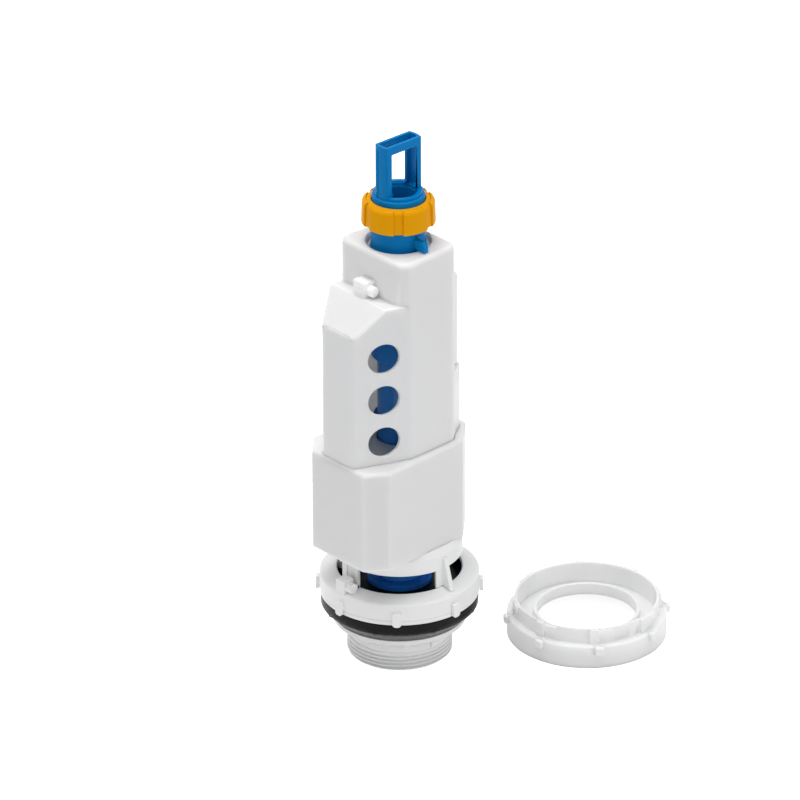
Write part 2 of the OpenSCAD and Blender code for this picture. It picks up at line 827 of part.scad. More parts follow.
// Sleeve that slides on the tube, with a collet for the nut and a tab on the tower
module adjust_sleeve() {
    color(blue) {
        rotate_extrude()
            polygon([
                [sleeve_bore_r, sleeve_z], [sleeve_r - sleeve_chamfer, sleeve_z],
                [sleeve_r, sleeve_z + sleeve_chamfer], [sleeve_r, nut_z - run_gap],
                [collet_r, nut_z - run_gap], [collet_r, collet_top - sleeve_chamfer],
                [collet_r - sleeve_chamfer, collet_top], [sleeve_bore_r, collet_top]
            ]);
        translate([0, tab_w / 6, tab_z])
            rotate([90, 0, 0])
                linear_extrude(tab_w)
                    polygon([
                        [sleeve_r - over, 0], [tab_reach, 0], [tab_reach, tab_h - tab_drop],
                        [tab_reach - tab_drop, tab_h], [sleeve_r - over, tab_h]
                    ]);
    }
}

// Profile of the clamp nut, moved inwards by d
function nut_profile(d) = concat(
    [[collet_r + run_gap, nut_z + d / 4], [nut_r - nut_chamfer - d, nut_z + d / 4],
     [nut_r - d, nut_z + nut_chamfer]],
    corner_arc([nut_r - d, nut_z], [nut_r - d, nut_z + nut_h - d / 4], [collet_r, nut_z + nut_h - d / 4],
               nut_round, 6),
    [[collet_r + run_gap, nut_z + nut_h - d / 4]]
);

// Clamp nut: a plain body with raised pads, which leave the grip grooves between them
module clamp_nut() {
    pad_angle = 360 / groove_count - groove_angle;
    color(yellow) {
        rotate_extrude()
            polygon(nut_profile(groove_d));
        difference() {
            for (k = [0:groove_count - 1])
                rotate([0, 0, groove_turn + groove_angle / 2 + k * 360 / groove_count])
                    rotate_extrude(angle = pad_angle)
                        polygon(nut_profile(0));
            translate([0, 0, nut_z - over])
                cylinder(r = nut_r - 2 * groove_d, h = nut_h + 2 * over);
        }
    }
}

// Loose back nut with a ribbed skirt, a collar with stops and ramps, and a hub for the outlet's thread
module back_nut() {
    skirt_wall = 2.2;
    collar_wall = 1.4;
    web_z = 8;
    web_h = 2;
    hub_in_r = thread_r - 1.5;
    hub_r = hub_in_r + 1.9;
    hub_h = 7;
    collar_top = back_nut_h + collar_h;
    stop_z = collar_top - 0.9;
    stop_out = 1.5;
    ramp_out = 1.2;
    ramp_h = 3.6;
    stop_angle = 7;
    ramp_angle = 12;
    color(white)
        translate([back_nut_x, back_nut_y, 0]) {
            rotate_extrude()
                polygon(concat(
                    [[back_nut_r - skirt_wall, 0], [back_nut_r, 0]],
                    corner_arc([back_nut_r, 0], [back_nut_r, back_nut_h], [collar_r, back_nut_h],
                               edge_round, 5),
                    [[collar_r, back_nut_h], [collar_r, collar_top], [collar_r - collar_wall, collar_top],
                     [collar_r - collar_wall, web_z + web_h], [hub_r, web_z + web_h],
                     [hub_r, web_z + hub_h], [hub_in_r, web_z + hub_h], [hub_in_r, web_z],
                     [back_nut_r - skirt_wall, web_z]]
                ));
            for (k = [0:nub_count - 1])
                rotate([0, 0, back_nub_turn + k * 360 / nub_count]) {
                    nub(back_nut_r - 2 * edge_round, back_nut_r + nub_out, back_nut_h - back_nub_h,
                        back_nub_h + weld);
                    ring(collar_r - weld, collar_r + stop_out, back_nut_h - weld, stop_z, -stop_angle, 0);
                    ring(collar_r - weld, collar_r + ramp_out, stop_z - ramp_h, stop_z - weld,
                         -weld, ramp_angle);
                }
        }
}

outlet_tail();
base_flange();
floor_washer();
seat_gasket();
valve_cage();
lower_cup();
housing();
flow_regulator();
latch_pin();
hold_latch();
float();
overflow_tube();
flush_seal();
seal_clamp();
seal_nut();
stop_collar();
adjust_sleeve();
riser_tube();
pull_handle();
clamp_nut();
back_nut();
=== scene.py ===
"""Looks of a toilet flush valve and its loose back nut, built round their CAD frame."""

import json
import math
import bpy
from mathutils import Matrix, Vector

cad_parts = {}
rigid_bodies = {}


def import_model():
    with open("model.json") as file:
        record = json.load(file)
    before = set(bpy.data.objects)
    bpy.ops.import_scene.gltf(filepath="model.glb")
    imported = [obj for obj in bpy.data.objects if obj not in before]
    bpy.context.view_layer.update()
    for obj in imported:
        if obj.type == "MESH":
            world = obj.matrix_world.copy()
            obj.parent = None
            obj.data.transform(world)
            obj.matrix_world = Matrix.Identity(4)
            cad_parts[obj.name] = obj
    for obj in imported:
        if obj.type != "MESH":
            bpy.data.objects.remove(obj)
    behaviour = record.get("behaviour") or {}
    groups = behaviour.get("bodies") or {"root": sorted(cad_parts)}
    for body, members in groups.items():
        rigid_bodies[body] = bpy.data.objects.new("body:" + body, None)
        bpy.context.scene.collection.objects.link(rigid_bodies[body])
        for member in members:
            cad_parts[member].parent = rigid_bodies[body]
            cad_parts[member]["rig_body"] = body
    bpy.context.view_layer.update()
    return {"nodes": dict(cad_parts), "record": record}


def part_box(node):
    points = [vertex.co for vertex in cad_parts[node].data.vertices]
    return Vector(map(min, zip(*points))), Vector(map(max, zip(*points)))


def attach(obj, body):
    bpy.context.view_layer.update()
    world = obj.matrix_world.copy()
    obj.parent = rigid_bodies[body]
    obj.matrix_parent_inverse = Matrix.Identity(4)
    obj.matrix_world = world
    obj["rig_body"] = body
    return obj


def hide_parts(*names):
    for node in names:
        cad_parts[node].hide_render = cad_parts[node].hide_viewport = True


bl_info = {
    "name": "Flush Valve Looks",
    "version": (1, 0, 0),
    "blender": (4, 5, 0),
    "location": "View3D > Sidebar > Flush Valve",
    "description": "Dresses the CAD frame of a toilet flush valve and sets up its studio",
    "category": "Object",
}

import bmesh
import bpy
from bpy.props import FloatProperty, FloatVectorProperty, IntProperty, PointerProperty
from mathutils import Matrix, Vector

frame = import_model()

MM = 0.001
SLOTS = {part["node"]: part["material_slot"] for part in frame["record"]["subparts"]}


class FlushEdges(bpy.types.PropertyGroup):
    """Rounding of the moulded edges"""

    moulding: FloatProperty(
        name="Mouldings", description="Edge radius of the white mouldings",
        default=0.5 * MM, min=0.1 * MM, max=1.2 * MM, precision=5, unit="LENGTH",
    )
    nose: FloatProperty(
        name="Nose roof", description="Edge radius of the roof of the housing's nose",
        default=1.25 * MM, min=0.1 * MM, max=2 * MM, precision=5, unit="LENGTH",
    )
    cage: FloatProperty(
        name="Cage", description="Edge radius of the cage, the base flange and the outlet",
        default=0.35 * MM, min=0.1 * MM, max=0.8 * MM, precision=5, unit="LENGTH",
    )
    handle: FloatProperty(
        name="Handle", description="Edge radius of the pull handle",
        default=0.3 * MM, min=0.1 * MM, max=0.9 * MM, precision=5, unit="LENGTH",
    )
    nut: FloatProperty(
        name="Clamp nut", description="Edge radius of the clamp nut",
        default=0.5 * MM, min=0.1 * MM, max=0.9 * MM, precision=5, unit="LENGTH",
    )
    back_nut: FloatProperty(
        name="Back nut", description="Edge radius of the back nut",
        default=0.2 * MM, min=0.05 * MM, max=0.4 * MM, precision=5, unit="LENGTH",
    )
    small: FloatProperty(
        name="Small pieces", description="Edge radius of the sleeve, the seal's clamp and the washer",
        default=0.3 * MM, min=0.1 * MM, max=0.6 * MM, precision=5, unit="LENGTH",
    )
    segments: IntProperty(
        name="Segments", description="Steps of each rounding", default=3, min=1, max=6,
    )
    angle: FloatProperty(
        name="Sharp angle", description="Edges that turn more than this are rounded",
        default=math.radians(34), min=math.radians(15), max=math.radians(80), subtype="ANGLE",
    )


class FlushThread(bpy.types.PropertyGroup):
    """Thread of the outlet"""

    pitch: FloatProperty(
        name="Pitch", description="Rise of the thread in one turn",
        default=2.309 * MM, min=1 * MM, max=4 * MM, precision=5, unit="LENGTH",
    )
    depth: FloatProperty(
        name="Depth", description="Depth of the thread below its crest",
        default=1.5 * MM, min=0.3 * MM, max=1.6 * MM, precision=5, unit="LENGTH",
    )
    length: FloatProperty(
        name="Length", description="Length of the threaded stretch of the outlet",
        default=10.9 * MM, min=5 * MM, max=10.9 * MM, precision=5, unit="LENGTH",
    )
    chamfer: FloatProperty(
        name="Chamfer", description="Chamfer of the outlet's lower end",
        default=1.4 * MM, min=0.2 * MM, max=2 * MM, precision=5, unit="LENGTH",
    )
    rows: IntProperty(
        name="Rows", description="Rows of faces in one turn of the thread", default=20, min=6, max=24,
    )


class FlushColours(bpy.types.PropertyGroup):
    """Colours of the plastics and the rubber, and colours that paint light, shade and a floor reflection on
    some pieces
    """

    white: FloatVectorProperty(
        name="White", description="Colour of the white mouldings",
        default=(0.87, 0.872, 0.875), subtype="COLOR", size=3, min=0, max=1,
    )
    thin_white: FloatVectorProperty(
        name="Thin white", description="Colour of the housing and the cup, whose walls let light through",
        default=(0.93, 0.932, 0.935), subtype="COLOR", size=3, min=0, max=1,
    )
    blue: FloatVectorProperty(
        name="Blue", description="Colour of the handle and the sleeve",
        default=(0.001, 0.2, 0.53), subtype="COLOR", size=3, min=0, max=1,
    )
    # A brighter blue of deeper hue, of the same plastic as the handle: it paints the look of shade on the
    # pieces round the seal, which lie in shade
    deep_blue: FloatVectorProperty(
        name="Deep blue", description="Colour of the blue pieces round the seal",
        default=(0.02, 0.21, 0.8), subtype="COLOR", size=3, min=0, max=1,
    )
    # A lighter blue that paints light onto the overflow tube and onto the sleeve's lower end, which lie in
    # shade inside the housing
    tube_blue: FloatVectorProperty(
        name="Tube blue", description="Colour of the overflow tube and of the sleeve inside the housing",
        default=(0.05, 0.36, 1.0), subtype="COLOR", size=3, min=0, max=1,
    )
    yellow: FloatVectorProperty(
        name="Yellow", description="Colour of the clamp nut",
        default=(0.82, 0.36, 0.001), subtype="COLOR", size=3, min=0, max=1,
    )
    black: FloatVectorProperty(
        name="Black", description="Colour of the rubber",
        default=(0.008, 0.008, 0.009), subtype="COLOR", size=3, min=0, max=1,
    )
    # Two greys painted on the washer's cone, lighter towards its foot: a painted reflection of the white
    # floor on the black rubber
    foot_reflection_grey: FloatVectorProperty(
        name="Pale foot", description="Colour of the washer at the foot of its cone",
        default=(0.16, 0.16, 0.165), subtype="COLOR", size=3, min=0, max=1,
    )
    edge_reflection_grey: FloatVectorProperty(
        name="Pale edge", description="Colour of the washer at the top of its cone",
        default=(0.055, 0.055, 0.057), subtype="COLOR", size=3, min=0, max=1,
    )


class FlushStudio(bpy.types.PropertyGroup):
    """Camera and light"""

    azimuth: FloatProperty(
        name="Azimuth", description="Turn of the camera round the object",
        default=math.radians(48), subtype="ANGLE",
    )
    elevation: FloatProperty(
        name="Elevation", description="Height of the camera above the horizon",
        default=math.radians(26.8), subtype="ANGLE",
    )
    roll: FloatProperty(
        name="Roll", description="Roll of the camera", default=-0.003, subtype="ANGLE",
    )
    distance: FloatProperty(
        name="Distance", description="Distance from the camera to its aim",
        default=4.74, min=1, max=20, unit="LENGTH",
    )
    aim: FloatVectorProperty(
        name="Aim", description="Point that the camera looks at",
        default=(0.00037, 0.00041, 0.156), precision=5, subtype="XYZ", unit="LENGTH",
    )
    lens: FloatProperty(
        name="Focal length", description="Focal length in millimetres on a 36 mm sensor",
        default=382.5, min=20, max=600,
    )
    sky: FloatProperty(
        name="Sky", description="Level of the even light from all round", default=0.404, min=0, max=2,
    )
    top: FloatProperty(
        name="Top light", description="Power of the large light above", default=32, min=0, max=400,
    )
    front: FloatProperty(
        name="Front light", description="Power of the light at the upper left", default=25, min=0, max=400,
    )
    side: FloatProperty(
        name="Side light", description="Power of the light at the right", default=10.6, min=0, max=400,
    )
    floor_lift: FloatProperty(
        name="Floor lift", description="Glow of the floor that keeps it white to the camera",
        default=0.75, min=0, max=1,
    )


# Materials

# White pieces whose thin walls let some light through, and how much and how deep it goes
THIN_WALLED = ("housing", "lower_cup", "back_nut")
WALL_GLOW = 0.85
WALL_DEPTH = 6 * MM
# Pieces with a material of their own for painted light: a painted reflection on the washer, painted light on
# the sleeve and on the tube; and the blue pieces round the seal, whose blue paints their shade
PAINTED_LIGHT_PARTS = ("floor_washer", "adjust_sleeve", "overflow_tube")
SHADE_PAINTED_BLUE = ("seal_clamp", "seal_nut", "stop_collar")
# Each finish: shade of its darker patches, roughness and spread, grain and its scale, specular level
FINISHES = {
    "white": {
        "shade": 0.985, "rough": 0.42, "spread": 0.05, "grain": 0.1, "grain_scale": 600, "specular": 0.4,
    },
    "blue": {
        "shade": 0.94, "rough": 0.26, "spread": 0.04, "grain": 0.1, "grain_scale": 700, "specular": 0.05,
    },
    "tube": {
        "shade": 0.94, "rough": 0.22, "spread": 0.04, "grain": 0.1, "grain_scale": 700, "specular": 0.25,
    },
    "yellow": {
        "shade": 0.95, "rough": 0.3, "spread": 0.05, "grain": 0.1, "grain_scale": 700, "specular": 0.04,
    },
    "rubber": {
        "shade": 0.8, "rough": 0.34, "spread": 0.06, "grain": 0.25, "grain_scale": 1200, "specular": 0.08,
    },
}
# Scale and detail of the drift in colour and of the patches in the sheen, and detail of the grain
DRIFT = (22, 3)
PATCHES = (90, 4)
GRAIN_DETAIL = 2
GRAIN_DEPTH = 0.05 * MM
# Part of a noise's range that is used
NOISE_RANGE = (0.3, 0.7)
# Heights between which the sleeve's painted light changes, lighter below, and the washer's painted
# reflection of the floor, lighter towards the foot of its cone, and the shares where they change
SLEEVE_LIGHT_HEIGHTS = (225 * MM, 243 * MM)
SLEEVE_LIGHT_SHARES = (0.2, 0.9)
WASHER_REFLECTION_HEIGHTS = (23 * MM, 33 * MM)
WASHER_REFLECTION_SHARES = (0.05, 0.74, 0.77)


def link_noise(tree, coords, scale, detail, at):
    """A noise texture on object coordinates."""
    noise = tree.nodes.new("ShaderNodeTexNoise")
    noise.location = at
    noise.inputs["Scale"].default_value = scale
    noise.inputs["Detail"].default_value = detail
    tree.links.new(coords.outputs["Object"], noise.inputs["Vector"])
    return noise


def link_range(tree, source, low, high, at):
    """Maps a noise to a narrow range."""
    node = tree.nodes.new("ShaderNodeMapRange")
    node.location = at
    node.inputs["From Min"].default_value = NOISE_RANGE[0]
    node.inputs["From Max"].default_value = NOISE_RANGE[1]
    node.inputs["To Min"].default_value = low
    node.inputs["To Max"].default_value = high
    tree.links.new(source, node.inputs["Value"])
    return node


def moulded(name, colour, shade, rough, spread, grain, grain_scale, specular):
    """A moulded material: its colour drifts a little, and a fine grain breaks its sheen."""
    made = bpy.data.materials.new(name)
    made.use_nodes = True
    made.diffuse_color = (*colour, 1)
    tree = made.node_tree
    surface = tree.nodes["Principled BSDF"]
    surface.inputs["Specular IOR Level"].default_value = specular
    coords = tree.nodes.new("ShaderNodeTexCoord")
    coords.location = (-1100, 0)

    drift = link_noise(tree, coords, *DRIFT, (-880, 240))
    mix = tree.nodes.new("ShaderNodeMix")
    mix.data_type = "RGBA"
    mix.location = (-320, 260)
    mix.inputs["A"].default_value = (*[c * shade for c in colour], 1)
    mix.inputs["B"].default_value = (*colour, 1)
    share = link_range(tree, drift.outputs["Fac"], 0, 1, (-600, 240))
    tree.links.new(share.outputs["Result"], mix.inputs["Factor"])
    tree.links.new(mix.outputs["Result"], surface.inputs["Base Color"])

    patch = link_noise(tree, coords, *PATCHES, (-880, -40))
    sheen = link_range(tree, patch.outputs["Fac"], rough - spread, rough + spread, (-600, -40))
    tree.links.new(sheen.outputs["Result"], surface.inputs["Roughness"])

    fine = link_noise(tree, coords, grain_scale, GRAIN_DETAIL, (-880, -320))
    bump = tree.nodes.new("ShaderNodeBump")
    bump.location = (-320, -320)
    bump.inputs["Strength"].default_value = grain
    bump.inputs["Distance"].default_value = GRAIN_DEPTH
    tree.links.new(fine.outputs["Fac"], bump.inputs["Height"])
    tree.links.new(bump.outputs["Normal"], surface.inputs["Normal"])
    return made


def paint_light_by_height(made, heights, shares, colours):
    """Paints light onto a material along its height between two levels, with a colour at each share of it:
    painted light lower on the sleeve, a painted reflection of the floor on the washer's cone.
    """
    tree = made.node_tree
    split = tree.nodes.new("ShaderNodeSeparateXYZ")
    split.location = (-880, 520)
    tree.links.new(tree.nodes["Texture Coordinate"].outputs["Object"], split.inputs["Vector"])
    height = tree.nodes.new("ShaderNodeMapRange")
    height.location = (-600, 520)
    height.inputs["From Min"].default_value = heights[0]
    height.inputs["From Max"].default_value = heights[1]
    tree.links.new(split.outputs["Z"], height.inputs["Value"])
    ramp = tree.nodes.new("ShaderNodeValToRGB")
    ramp.location = (-320, 520)
    stops = ramp.color_ramp.elements
    for share in shares[1:-1]:
        stops.new(share)
    for stop, share, colour in zip(stops, shares, colours):
        stop.position = share
        stop.color = (*colour, 1)
    tree.links.new(height.outputs["Result"], ramp.inputs["Fac"])
    tree.links.new(ramp.outputs["Color"], tree.nodes["Principled BSDF"].inputs["Base Color"])


def look(node):
    """The material of a CAD node, made once for each kind of plastic or rubber."""
    slot = SLOTS[node]
    name = "flush_" + slot
    if node in PAINTED_LIGHT_PARTS or node in THIN_WALLED:
        name += "_" + node
    elif node in SHADE_PAINTED_BLUE:
        name += "_deep"
    if name in bpy.data.materials:
        return bpy.data.materials[name]
    colours = bpy.context.scene.flush_colours
    if slot == "blue_plastic":
        return blue_look(node, name, colours)
    if slot == "yellow_plastic":
        return moulded(name, colours.yellow, **FINISHES["yellow"])
    if slot == "black_rubber":
        made = moulded(name, colours.black, **FINISHES["rubber"])
        # The washer's cone is painted lighter towards its foot, a painted reflection of the white floor
        if node == "floor_washer":
            cone = (colours.foot_reflection_grey, colours.edge_reflection_grey, colours.black)
            paint_light_by_height(made, WASHER_REFLECTION_HEIGHTS, WASHER_REFLECTION_SHARES, cone)
        return made
    colour = colours.thin_white if node in ("housing", "lower_cup") else colours.white
    made = moulded(name, colour, **FINISHES["white"])
    if node in THIN_WALLED:
        surface = made.node_tree.nodes["Principled BSDF"]
        surface.inputs["Subsurface Weight"].default_value = WALL_GLOW
        surface.inputs["Subsurface Radius"].default_value = (1, 1, 1)
        surface.inputs["Subsurface Scale"].default_value = WALL_DEPTH
    return made


def blue_look(node, name, colours):
    """The blue plastic of a CAD node: a lighter blue on the tube and the sleeve's lower end paints light
    where they lie in shade inside the housing, and a deeper blue paints the look of shade on the pieces
    round the seal.
    """
    if node == "overflow_tube":
        return moulded(name, colours.tube_blue, **FINISHES["tube"])
    colour = colours.deep_blue if node in SHADE_PAINTED_BLUE else colours.blue
    made = moulded(name, colour, **FINISHES["blue"])
    # The sleeve is painted lighter towards its lower end, inside the housing: painted light where it lies in
    # shade
    if node == "adjust_sleeve":
        paint_light_by_height(made, SLEEVE_LIGHT_HEIGHTS, SLEEVE_LIGHT_SHARES, (colours.tube_blue, colours.blue))
    return made


# Geometry

# Distances under which points are one: in a CAD mesh, after a rounding, and at a cut
MERGE_CAD = 0.002 * MM
MERGE_ROUNDED = 0.004 * MM
MERGE_CUT = 0.001 * MM
# Faces of a CAD mesh that turn less than this are joined
FLAT_ANGLE = math.radians(0.3)
# Shading breaks at edges that turn more than this
SHADE_ANGLE = math.radians(40)
# Degrees of a ring that one step of its spin takes
RING_STEP = 2
# How near a point has to be to a named place, in millimetres
NEAR = 0.05


def merged(node):
    """A merged copy of a CAD node's mesh with its flat faces joined."""
    bm = bmesh.new()
    bm.from_mesh(frame["nodes"][node].data)
    bmesh.ops.remove_doubles(bm, verts=bm.verts[:], dist=MERGE_CAD)
    bmesh.ops.dissolve_limit(
        bm, angle_limit=FLAT_ANGLE, verts=bm.verts[:], edges=bm.edges[:], delimit=set()
    )
    return bm


def soften(bm, radius, edges, chosen=None):
    """Rounds every outer edge that turns more than the sharp angle, or those of them that are chosen."""
    sharp = [e for e in bm.edges if e.is_convex and e.calc_face_angle(0) > edges.angle]
    if chosen:
        sharp = [e for e in sharp if all(chosen(v.co / MM) for v in e.verts)]
    bmesh.ops.bevel(
        bm, geom=sharp, offset=radius, offset_type="OFFSET", segments=edges.segments, profile=0.5,
        affect="EDGES", clamp_overlap=False, material=-1,
    )
    bmesh.ops.remove_doubles(bm, verts=bm.verts[:], dist=MERGE_ROUNDED)


def cut_level(bm, place, normal, **sides):
    """Cuts a mesh along a plane and clears the sides that are asked for."""
    bmesh.ops.bisect_plane(
        bm, geom=bm.verts[:] + bm.edges[:] + bm.faces[:], dist=MERGE_CUT, plane_co=place, plane_no=normal,
        **sides,
    )


def ring_part(bm, radii, heights, start, sweep):
    """Adds a stretch of a ring round the Z axis, in millimetres, from a start angle and over a sweep."""
    angle = math.radians(start)
    outline = [(radii[i] * MM, heights[j] * MM) for i, j in ((0, 0), (1, 0), (1, 1), (0, 1))]
    corners = [bm.verts.new((r * math.cos(angle), r * math.sin(angle), z)) for r, z in outline]
    sides = [bm.edges.new((a, b)) for a, b in zip(corners, corners[1:] + corners[:1])]
    bmesh.ops.spin(
        bm, geom=corners + sides, cent=(0, 0, 0), axis=(0, 0, 1), angle=math.radians(sweep),
        steps=max(2, round(sweep / RING_STEP)), use_merge=sweep == 360,
    )
    bmesh.ops.holes_fill(bm, edges=[e for e in bm.edges if e.is_boundary], sides=4)


def finish_piece(bm, name, node, smooth=SHADE_ANGLE, stands=True, finish=None):
    """Turns a bmesh into a piece that rides with a CAD node, and stands for it if asked."""
    bmesh.ops.recalc_face_normals(bm, faces=bm.faces[:])
    if bm.calc_volume(signed=True) < 0:
        bmesh.ops.reverse_faces(bm, faces=bm.faces[:])
    mesh = bpy.data.meshes.new(name)
    bm.to_mesh(mesh)
    bm.free()
    mesh.shade_smooth()
    mesh.set_sharp_from_angle(angle=smooth)
    mesh.materials.append(look(finish or node))
    piece = bpy.data.objects.new(name, mesh)
    bpy.context.scene.collection.objects.link(piece)
    weighted = piece.modifiers.new("Even shading", "WEIGHTED_NORMAL")
    weighted.keep_sharp = True
    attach(piece, frame["nodes"][node]["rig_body"])
    if stands:
        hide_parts(node)


def soft_piece(bm, node, radius, edges, smooth=SHADE_ANGLE):
    """Rounds the edges of a copy of a CAD node and makes it the piece that stands for the node."""
    soften(bm, radius, edges)
    finish_piece(bm, "soft_" + node, node, smooth)


# Operators

# Heights of the roof of the housing's nose, depth of its front, and where the cup's shoulder starts, in mm
NOSE_ROOF = (214.5, 230.5)
NOSE_FRONT = -21.5
CUP_SHOULDER = 130


class FLUSH_OT_mouldings(bpy.types.Operator):
    """Round the edges of the housing, the cup and the regulator"""

    bl_idname = "flush.mouldings"
    bl_label = "Mouldings"
    bl_options = {"REGISTER", "UNDO"}

    def execute(self, context):
        edges = context.scene.flush_edges
        housing = merged("housing")
        soften(housing, edges.nose, edges, self.on_nose_roof)
        soft_piece(housing, "housing", edges.moulding, edges)
        cup = merged("lower_cup")
        soften(cup, edges.moulding, edges, self.below_shoulder)
        finish_piece(cup, "soft_lower_cup", "lower_cup")
        soft_piece(merged("flow_regulator"), "flow_regulator", edges.moulding, edges)
        return {"FINISHED"}

    def on_nose_roof(self, mm):
        """Whether a point of the housing lies on the roof of its nose."""
        return NOSE_ROOF[0] < mm.z < NOSE_ROOF[1] and mm.y < NOSE_FRONT

    def below_shoulder(self, mm):
        """Whether a point of the cup lies below its shoulder, which is round already."""
        return mm.z < CUP_SHOULDER


class FLUSH_OT_flange(bpy.types.Operator):
    """Round the edges of the base flange"""

    bl_idname = "flush.flange"
    bl_label = "Base flange"
    bl_options = {"REGISTER", "UNDO"}

    def execute(self, context):
        edges = context.scene.flush_edges
        soft_piece(merged("base_flange"), "base_flange", edges.cage, edges)
        return {"FINISHED"}


# Back nut, in mm: heights between which its stops end, their rise, the reach of its skirt with and
# without the nubs of the solid
STOP_TOPS = (21.1, 21.7)
STOP_RISE = 0.8
NUBBED_R = 45.6
SKIRT_R = 45.35
# Round grip nubs of the back nut, in mm and degrees
NUB_COUNT = 8
NUB_TURN = 11
NUB_R = 45.8
NUB_Z = 11.2
NUB_SIZE = (3.9, 5.6, 5)
NUB_ROUND = 1.4
NUB_SEGMENTS = 4


class FLUSH_OT_back_nut(bpy.types.Operator):
    """Round the edges of the back nut and give it round grip nubs"""

    bl_idname = "flush.back_nut"
    bl_label = "Back nut"
    bl_options = {"REGISTER", "UNDO"}

    def execute(self, context):
        edges = context.scene.flush_edges
        low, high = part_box("back_nut")
        centre = (low.xy + high.xy) / 2
        back_nut = merged("back_nut")
        for vert in back_nut.verts:
            if STOP_TOPS[0] < vert.co.z / MM < STOP_TOPS[1]:
                vert.co.z += STOP_RISE * MM
            away = vert.co.xy - centre
            if away.length > NUBBED_R * MM:
                vert.co.xy = centre + away * (SKIRT_R * MM / away.length)
        soft_piece(back_nut, "back_nut", edges.back_nut, edges)
        self.nubs(centre)
        return {"FINISHED"}

    def nubs(self, centre):
        """Round grip nubs on the back nut's skirt."""
        shift = Matrix.Translation((*centre, 0))
        place = Matrix.Translation((NUB_R * MM, 0, NUB_Z * MM))
        size = Matrix.Diagonal((*[side * MM for side in NUB_SIZE], 1))
        bm = bmesh.new()
        for k in range(NUB_COUNT):
            turn = Matrix.Rotation(math.radians(NUB_TURN + 360 / NUB_COUNT * k), 4, "Z")
            bmesh.ops.create_cube(bm, size=1, matrix=shift @ turn @ place @ size)
        bmesh.ops.bevel(
            bm, geom=bm.edges[:], offset=NUB_ROUND * MM, offset_type="OFFSET", segments=NUB_SEGMENTS,
            profile=0.5, affect="EDGES", clamp_overlap=False, material=-1,
        )
        finish_piece(bm, "back_nubs", "back_nut", stands=False, finish="base_flange")


# Tops of the cage's feet, in mm and degrees: height, reach, the turns they lie between, and their drop
FOOT_TOP = 53.2
FOOT_R = 34.95
FOOT_TURNS = (60, 320)
FOOT_DROP = 2.4
# Right side of the cage's front post: its turn and how near to it, radii, heights, and how far it is turned
SIDE_TURN = -80.1
SIDE_NEAR = 0.3
SIDE_RADII = (33, 35.5)
SIDE_HEIGHTS = (50, 64)
SIDE_SHIFT = math.radians(-3.5)
# Outer faces of the cage's posts: the middle and the width of each, and how far they pass it
POSTS = ((0, 13), (90, 13), (180, 13), (-102, 7.8), (-85.7, 4.3))
POST_MARGIN = 0.2
POST_RADII = (34.6, 35.65)
POST_HEIGHTS = (52.6, 63.6)
# Web between the two front posts
WEB_RADII = (34, 35)
WEB_START = -99
WEB_SWEEP = 12


class FLUSH_OT_cage(bpy.types.Operator):
    """Round the edges of the cage, lower its feet and face its posts"""

    bl_idname = "flush.cage"
    bl_label = "Cage"
    bl_options = {"REGISTER", "UNDO"}

    def execute(self, context):
        edges = context.scene.flush_edges
        cage = merged("valve_cage")
        for vert in cage.verts:
            if self.on_post_side(vert.co / MM):
                vert.co.rotate(Matrix.Rotation(SIDE_SHIFT, 3, "Z"))
            if self.on_foot(vert.co / MM):
                vert.co.z -= FOOT_DROP * MM
        soft_piece(cage, "valve_cage", edges.cage, edges)
        posts = bmesh.new()
        for middle, width in POSTS:
            start = middle - width / 2 - POST_MARGIN
            ring_part(posts, POST_RADII, POST_HEIGHTS, start, width + 2 * POST_MARGIN)
        ring_part(posts, WEB_RADII, POST_HEIGHTS, WEB_START, WEB_SWEEP)
        finish_piece(posts, "post_faces", "valve_cage", stands=False)
        return {"FINISHED"}

    def on_post_side(self, mm):
        """Whether a point of the cage lies on the right side of its front post."""
        turn = math.degrees(math.atan2(mm.y, mm.x))
        in_wall = SIDE_RADII[0] < mm.xy.length < SIDE_RADII[1]
        return abs(turn - SIDE_TURN) < SIDE_NEAR and in_wall and SIDE_HEIGHTS[0] < mm.z < SIDE_HEIGHTS[1]

    def on_foot(self, mm):
        """Whether a point of the cage lies on the top of one of its three feet."""
        turn = math.degrees(math.atan2(mm.y, mm.x)) % 360
        on_top = abs(mm.z - FOOT_TOP) < NEAR
        return on_top and mm.xy.length < FOOT_R and FOOT_TURNS[0] < turn < FOOT_TURNS[1]


# Lip of the outlet, in mm: under side and its drop, heights and radius of the rim, and its new radius
LIP_Z = 21.5
LIP_DROP = 0.8
LIP_HEIGHTS = (21, 24)
LIP_R = 36.9
LIP_NEW_R = 37.8
# Lower edge of the base plate, in mm, and its drop
PLATE_Z = 38
PLATE_DROP = 0.7
# Slope of the thread's flanks, and how far they are set down, which leaves flat crests and grooves
FLANK_SLOPE = 3.2
FLANK_SET = 1.4
# Shading of the outlet breaks only past this angle, so that the thread looks round
THREAD_SHADE_ANGLE = math.radians(60)


